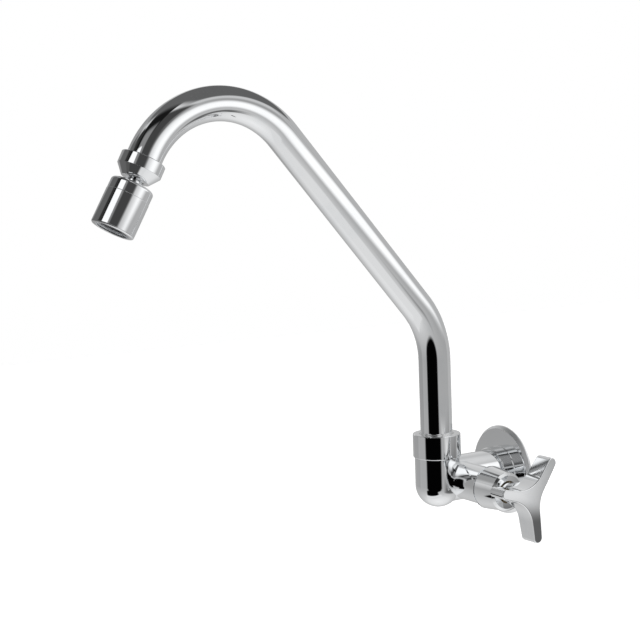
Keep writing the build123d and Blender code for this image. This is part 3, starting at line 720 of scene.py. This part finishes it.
turn_piece("end_nut_turned", "end_nut", TIP, [
    (11.4, 2.4, 0.1), (13.6, 2.4, 0.15), (14.0, 2.8, 0.2), (14.0, 10.0, 0.3),
    (9.0, 16.3, 0.5), (6.05, 16.3), (6.05, 11.0), (12.05, 11.0), (12.05, 6.0), (11.4, 6.0),
])
turn_piece("ball_stem_turned", "ball_stem", TIP, [
    (BALL_BORE_R, 11.0), (6.0, 11.0), (6.0, 15.9), (BALL_NECK_R, 15.9),
    *arc_points(BALL_STATION, BALL_R, neck_angle, bore_angle),
])
turn_piece("head_cap_turned", "head_cap", HEAD, [
    (13.6, CUP_LIP, 2.0), (13.6, 1.9, 0.15), (12.0, 1.9), (12.0, 7.5), (CUP_R, 7.5),
    *arc_points(0.0, CUP_R, 90.0, lip_angle),
])
turn_piece("head_sleeve_turned", "head_sleeve", HEAD, [
    (12.05, 1.9), (13.75, 1.9, 0.25), (13.75, 24.6, 1.0), (10.8, 24.6, 0.25), (10.8, 23.4),
    (12.05, 23.4),
])

# %% [markdown]
# ## The spout
#
# The spout is one bent tube, so it follows its centre line.  The tree sweeps a circle along
# the line for the outer skin and a smaller one for the bore.  A flat ring then closes each
# end, which joins the two skins into one wall.

# %% The tree that sweeps a tube, and the spout
TUBE_STEPS = 128            # round the tube
END_CREASE = 40.0           # degrees between two faces from which an edge is sharp


def tube_tree():
    """The tree that sweeps the two skins of a tube along a line."""
    tree, given, result = new_tree(
        "Bent tube", "GeometryNodeTree",
        [("Line", "NodeSocketGeometry", None), ("Outer Radius", "NodeSocketFloat", 0.011),
         ("Wall", "NodeSocketFloat", 0.001), ("Steps Round", "NodeSocketInt", TUBE_STEPS),
         ("Crease Angle", "NodeSocketFloat", CREASE), ("Finish", "NodeSocketMaterial", None)],
        [("Piece", "NodeSocketGeometry")],
    )
    line = add(tree, "GeometryNodeMeshToCurve", {"Mesh": given.outputs["Line"]}).outputs["Curve"]
    inner = calc(tree, "SUBTRACT", given.outputs["Outer Radius"], given.outputs["Wall"])
    skins = add(tree, "GeometryNodeJoinGeometry")
    for radius in (given.outputs["Outer Radius"], inner):
        ring = add(tree, "GeometryNodeCurvePrimitiveCircle", {
            "Resolution": given.outputs["Steps Round"], "Radius": radius,
        })
        skin = add(tree, "GeometryNodeCurveToMesh", {
            "Curve": line, "Profile Curve": ring.outputs["Curve"],
        })
        tree.links.new(skin.outputs["Mesh"], skins.inputs["Geometry"])
    finish_mesh(tree, skins.outputs["Geometry"], given, result)
    return tree


def close_ends(mesh):
    """Bridge the open rims of two nested skins, one pair at each end."""
    shell = bmesh.new()
    shell.from_mesh(mesh)
    rims = [edge for edge in shell.edges if edge.is_boundary]
    middle = sum((e.verts[0].co for e in rims), Vector()) / len(rims)
    for side in (True, False):
        pair = [e for e in rims if (e.verts[0].co.z > middle.z) == side]
        bmesh.ops.bridge_loops(shell, edges=pair)
    bmesh.ops.recalc_face_normals(shell, faces=shell.faces)
    for edge in shell.edges:
        if len(edge.link_faces) == 2 and edge.calc_face_angle() > math.radians(END_CREASE):
            edge.smooth = False
    shell.to_mesh(mesh)
    shell.free()


line_mesh = bpy.data.meshes.new("spout_line")
line_mesh.from_pydata(
    [p * MM for p in spout_line], [(i, i + 1) for i in range(len(spout_line) - 1)], [])
spout = apply_tree("spout_gooseneck", line_mesh, tube_tree(), {
    "Outer Radius": TUBE_R * MM, "Wall": TUBE_WALL * MM, "Steps Round": TUBE_STEPS,
    "Finish": FINISHES["chromed_tube"],
}, Matrix.Identity(4))
close_ends(spout.data)
stand_in(spout, "spout_tube")

# %% [markdown]
# ## The studio
#
# Chrome has no colour of its own: it is a picture of the room.  The photograph's reflections
# show a pale floor and backdrop, a black card beside the lens, a dark ceiling in front with a
# lighter patch in it, a bright strip on the floor, a large soft light on the right and a grey
# canopy close above the spout.  What is far away looks the same from all over the tap, so it is
# a panel drawn on the world by direction.  What is near, such as the canopy, is seen by one
# piece and missed by the next, so it is a real card that only reflections see.

# %% A node group for one far panel
LEAST_DEPTH = 0.001         # keeps a look square to the panel's axis from dividing by zero


def direction(azimuth, elevation):
    """Unit vector, with the azimuth in degrees from the handle's side towards the wall."""
    a = math.radians(azimuth)
    e = math.radians(elevation)
    return Vector((math.cos(e) * math.cos(a), math.cos(e) * math.sin(a), math.sin(e)))


def panel_group():
    """Level of the room with one panel, from oval to square-cornered, over what is behind it."""
    tree, given, result = new_tree(
        "Studio panel", "ShaderNodeTree",
        [("Behind", "NodeSocketFloat", 0.0), ("Looking", "NodeSocketVector", None),
         ("Toward", "NodeSocketVector", None), ("Side", "NodeSocketVector", None),
         ("Up", "NodeSocketVector", None), ("Half Width", "NodeSocketFloat", 1.0),
         ("Half Height", "NodeSocketFloat", 1.0), ("Squareness", "NodeSocketFloat", 8.0),
         ("Edge", "NodeSocketFloat", 0.1), ("Level", "NodeSocketFloat", 1.0)],
        [("Level", "NodeSocketFloat")],
    )
    looking = given.outputs["Looking"]
    power = given.outputs["Squareness"]
    depth = vector_calc(tree, "DOT_PRODUCT", looking, given.outputs["Toward"], output=1)
    safe = calc(tree, "MAXIMUM", depth, LEAST_DEPTH)
    total = 0.0
    for axis, size in (("Side", "Half Width"), ("Up", "Half Height")):
        along = vector_calc(tree, "DOT_PRODUCT", looking, given.outputs[axis], output=1)
        share = calc(tree, "DIVIDE", calc(tree, "DIVIDE", along, safe), given.outputs[size])
        part = calc(tree, "POWER", calc(tree, "ABSOLUTE", share), power)
        total = calc(tree, "ADD", total, part)
    reach = calc(tree, "POWER", total, calc(tree, "DIVIDE", 1.0, power))
    inside = add(tree, "ShaderNodeMapRange", {
        "Value": reach,
        "From Min": calc(tree, "SUBTRACT", 1.0, given.outputs["Edge"]),
        "From Max": calc(tree, "ADD", 1.0, given.outputs["Edge"]),
        "To Min": 1.0, "To Max": 0.0,
    }, interpolation_type="SMOOTHSTEP").outputs["Result"]
    mixed = add(tree, "ShaderNodeMix", {
        "Factor": calc(tree, "MULTIPLY", inside, calc(tree, "GREATER_THAN", depth, 0.0)),
        "A": given.outputs["Behind"], "B": given.outputs["Level"],
    })
    tree.links.new(mixed.outputs["Result"], result.inputs["Level"])
    return tree


# %% [markdown]
# Each panel is given by where its middle lies, how wide and high it is in degrees, how square
# it is, how soft its edge is and how bright it is.  A later panel covers those before it.  A
# camera ray sees plain white, so that the backdrop is clean, and the metal sees the panels.

# %% The world
FLOOR_TO_SKY = [
    # elevation, level on screen
    (-90, 0.92), (-58, 0.86), (-44, 0.77), (-25, 0.69),
    (0, 0.61), (20, 0.81), (45, 0.73), (90, 1.09),
]
PANELS = [
    # azimuth, elevation, width, height, squareness, edge, level on screen
    (101, 12, 62, 53, 8, 0.02, 0.69),       # the wall behind
    (-57, 42, 128, 48, 8, 0.18, 0.25),      # the dark ceiling in front
    (-70, 53, 50, 62, 8, 0.10, 0.09),       # its darkest part
    (-59, 38, 29, 35, 8, 0.30, 0.52),       # the lighter patch in it
    (-54, -9, 77, 45, 2.6, 0.14, 0.01),     # the black card beside the lens
    (-67, -60, 67, 15, 8, 0.16, 0.85),      # the bright strip on the floor
]
CHROME_SHOWS = 0.93         # share of the light that the plating sends back
DIFFUSE_GAIN = 1.9          # brings the room's mean level to 1, so that colours look as written


def light(level):
    """Strength of a light that the plating shows at this level of the screen's sRGB scale."""
    linear = ((level + 0.055) / 1.055) ** 2.4 if level > 0.04045 else level / 12.92
    return linear / CHROME_SHOWS


def studio_world():
    """The far room: a ramp from floor to sky, with the panels laid over it one by one."""
    world = bpy.data.worlds.new("studio")
    bpy.context.scene.world = world
    world.use_nodes = True
    tree = world.node_tree
    tree.nodes.clear()
    looking = add(tree, "ShaderNodeTexCoord").outputs["Generated"]
    height = add(tree, "ShaderNodeSeparateXYZ", {"Vector": looking}).outputs["Z"]
    elevation = calc(tree, "ARCSINE", height)
    ramp = add(tree, "ShaderNodeValToRGB", {
        "Fac": calc(tree, "MULTIPLY_ADD", elevation, 1 / math.pi, 0.5),
    })
    stops = ramp.color_ramp.elements
    while len(stops) < len(FLOOR_TO_SKY):
        stops.new(0.5)
    for stop, (degrees, level) in zip(stops, FLOOR_TO_SKY):
        stop.position = degrees / 180 + 0.5
        stop.color = (light(level), light(level), light(level), 1.0)
    level = ramp.outputs["Color"]
    group = panel_group()
    for azimuth, rise, width, high, squareness, edge, bright in PANELS:
        toward = direction(azimuth, rise)
        side = toward.cross(Vector((0, 0, 1))).normalized()
        panel = add(tree, "ShaderNodeGroup", node_tree=group)
        tree.links.new(level, panel.inputs["Behind"])
        tree.links.new(looking, panel.inputs["Looking"])
        panel.inputs["Toward"].default_value = toward
        panel.inputs["Side"].default_value = side
        panel.inputs["Up"].default_value = side.cross(toward)
        panel.inputs["Half Width"].default_value = math.tan(math.radians(width / 2))
        panel.inputs["Half Height"].default_value = math.tan(math.radians(high / 2))
        panel.inputs["Squareness"].default_value = squareness
        panel.inputs["Edge"].default_value = edge
        panel.inputs["Level"].default_value = light(bright)
        level = panel.outputs["Level"]
    path = add(tree, "ShaderNodeLightPath")
    gain = between(tree, path.outputs["Is Diffuse Ray"], 1.0, DIFFUSE_GAIN)
    backdrop = calc(
        tree, "MAXIMUM", path.outputs["Is Camera Ray"], path.outputs["Is Transmission Ray"])
    final = add(tree, "ShaderNodeMix", {
        "Factor": backdrop, "A": calc(tree, "MULTIPLY", level, gain), "B": 1.0,
    })
    background = add(tree, "ShaderNodeBackground", {
        "Color": (1.0, 1.0, 1.0, 1.0), "Strength": final.outputs["Result"],
    })
    add(tree, "ShaderNodeOutputWorld", {"Surface": background.outputs["Background"]})


studio_world()
print("far panels:", len(PANELS))

# %% [markdown]
# The floor is far below, as in the photograph, where no shadow shows.  It is a plain pale
# surface that takes the tap's shadow, with a little light of its own for the camera, so that
# it meets the white background without a line.
#
# The near cards stand around the tap, as in a studio for small bright things.  Each is a plane
# that glows evenly and fades out towards its rim, and only reflections see it.  The canopy, the
# two soft boxes and the card on the left give the spout its broad tones.  The strip, the dim
# card and the card for the arch draw its stripes, and the others show in one piece each: the
# end nut's bevel, the elbow, the undersides and the handle.  At the spout's height the cards
# glow only outside the circle that its tip swings round, because a light that cuts through the
# tube would show.

# %% Floor and near cards
FLOOR_DROP = 0.42
FLOOR_SIZE = 8.0
FLOOR_COLOUR = (0.80, 0.80, 0.80, 1.0)
FLOOR_GLOW = 0.45           # for the camera alone
CARD_SQUARENESS = 8.0
CORNERS = ((-1, -1), (1, -1), (1, 1), (-1, 1))
CARDS = [
    # name, facing azimuth and elevation, middle, width, height, edge, level on screen
    ("canopy", -60, 90, (-0.082, -0.054, 0.480), 0.499, 0.540, 0.12, 0.37),
    ("soft_box", 21, 0, (0.257, 0.067, 0.223), 0.519, 0.198, 0.55, 1.00),
    ("soft_box_top", 33, 0, (0.522, 0.213, 0.501), 0.728, 0.210, 0.90, 0.60),
    ("left_card", -144, 0, (-0.545, -0.294, 0.333), 0.453, 0.909, 0.25, 0.58),
    ("strip_card", -69, 0, (0.085, -0.534, 0.388), 0.176, 0.150, 0.09, 1.00),
    ("dim_card", -157, 0, (-0.062, -0.352, 0.215), 0.085, 0.240, 0.25, 0.37),
    ("arch_card", -110, 0, (-0.058, -0.414, 0.330), 0.088, 0.260, 0.12, 0.18),
    ("bevel_left", -119, -25, (-0.035, -0.401, 0.181), 0.150, 0.092, 0.15, 0.32),
    ("bevel_right", -62, -35, (0.045, -0.375, 0.164), 0.170, 0.077, 0.15, 0.25),
    ("elbow_card", -66, -37, (0.022, -0.102, -0.031), 0.052, 0.024, 0.12, 0.01),
    ("low_card", 30, 0, (0.235, 0.106, -0.125), 0.360, 0.180, 0.45, 0.36),
    ("handle_glow", 25, 0, (0.145, -0.026, -0.006), 0.066, 0.034, 0.90, 0.86),
]


def studio_floor():
    """A wide pale floor that takes the tap's shadow."""
    half = FLOOR_SIZE / 2
    mesh = bpy.data.meshes.new("studio_floor")
    mesh.from_pydata([(x * half, y * half, -FLOOR_DROP) for x, y in CORNERS], [], [(0, 1, 2, 3)])
    material, tree = new_material("studio_floor")
    paper = add(tree, "ShaderNodeBsdfDiffuse", {"Color": FLOOR_COLOUR})
    seen = add(tree, "ShaderNodeLightPath").outputs["Is Camera Ray"]
    glow = add(tree, "ShaderNodeEmission", {"Strength": calc(tree, "MULTIPLY", seen, FLOOR_GLOW)})
    both = add(tree, "ShaderNodeAddShader", {0: paper.outputs[0], 1: glow.outputs[0]})
    add(tree, "ShaderNodeOutputMaterial", {"Surface": both.outputs[0]})
    mesh.materials.append(material)
    floor = new_object("studio_floor", mesh)
    floor.visible_glossy = False


def card_finish(name, edge, level):
    """A glow that fades towards the rim of a card whose own coordinates run from -1 to 1."""
    material, tree = new_material(name)
    place = add(tree, "ShaderNodeUVMap").outputs["UV"]
    spot = add(tree, "ShaderNodeSeparateXYZ", {"Vector": place})
    total = 0.0
    for axis in ("X", "Y"):
        share = calc(tree, "ABSOLUTE", spot.outputs[axis])
        total = calc(tree, "ADD", total, calc(tree, "POWER", share, CARD_SQUARENESS))
    reach = calc(tree, "POWER", total, 1 / CARD_SQUARENESS)
    inside = add(tree, "ShaderNodeMapRange", {
        "Value": reach, "From Min": 1 - edge, "From Max": 1 + edge, "To Min": 1.0, "To Max": 0.0,
    }, interpolation_type="SMOOTHSTEP").outputs["Result"]
    glow = add(tree, "ShaderNodeEmission", {"Strength": light(level)})
    clear = add(tree, "ShaderNodeBsdfTransparent")
    mixed = add(tree, "ShaderNodeMixShader", {0: inside, 1: clear.outputs[0], 2: glow.outputs[0]})
    add(tree, "ShaderNodeOutputMaterial", {"Surface": mixed.outputs[0]})
    return material


def near_card(name, azimuth, rise, middle, width, height, edge, level):
    """One card, made larger by its fading rim, as a plane that only reflections see."""
    toward = direction(azimuth, rise)
    side = Vector((math.sin(math.radians(azimuth)), -math.cos(math.radians(azimuth)), 0))
    up = side.cross(toward)
    reach = 1 + edge
    mesh = bpy.data.meshes.new(name)
    mesh.from_pydata([
        Vector(middle) + side * (x * reach * width / 2) + up * (y * reach * height / 2)
        for x, y in CORNERS
    ], [], [(0, 1, 2, 3)])
    layer = mesh.uv_layers.new(name="spot")
    for loop, (x, y) in zip(layer.data, CORNERS):
        loop.uv = (x * reach, y * reach)
    mesh.materials.append(card_finish(name, edge, level))
    card = new_object(name, mesh)
    card.visible_camera = False
    card.visible_diffuse = False
    card.visible_shadow = False


studio_floor()
for values in CARDS:
    near_card(*values)
print("near cards:", len(CARDS))

# %% [markdown]
# ## The camera
#
# The photograph looks at the tap from its front right, slightly from above, from about a metre
# away and with a long lens, and its horizon is turned by two degrees.

# %% The camera
CAMERA_AZIMUTH = 58.95
CAMERA_ELEVATION = 5.97
CAMERA_ROLL = -2.12
CAMERA_DISTANCE = 1007.27
CAMERA_TARGET = (-81.75, -100.0, 110.55)
CAMERA_LENS = 78.29
CAMERA_SENSOR = 36.0


def add_camera():
    """The camera; its azimuth runs from straight in front towards the handle's side."""
    a = math.radians(CAMERA_AZIMUTH)
    e = math.radians(CAMERA_ELEVATION)
    roll = math.radians(CAMERA_ROLL)
    back = Vector((math.sin(a) * math.cos(e), -math.cos(a) * math.cos(e), math.sin(e)))
    right = Vector((math.cos(a), math.sin(a), 0))
    up = back.cross(right)
    rolled_right = math.cos(roll) * right + math.sin(roll) * up
    rolled_up = math.cos(roll) * up - math.sin(roll) * right
    data = bpy.data.cameras.new("camera")
    data.lens = CAMERA_LENS
    data.sensor_width = CAMERA_SENSOR
    camera = new_object("camera", data)
    turn = Matrix((rolled_right, rolled_up, back)).transposed().to_4x4()
    place = (Vector(CAMERA_TARGET) + back * CAMERA_DISTANCE) * MM
    camera.matrix_world = Matrix.Translation(place) @ turn
    bpy.context.scene.camera = camera


add_camera()
bpy.context.scene.view_settings.view_transform = "Standard"
print("camera at", [round(c, 3) for c in bpy.context.scene.camera.matrix_world.translation])
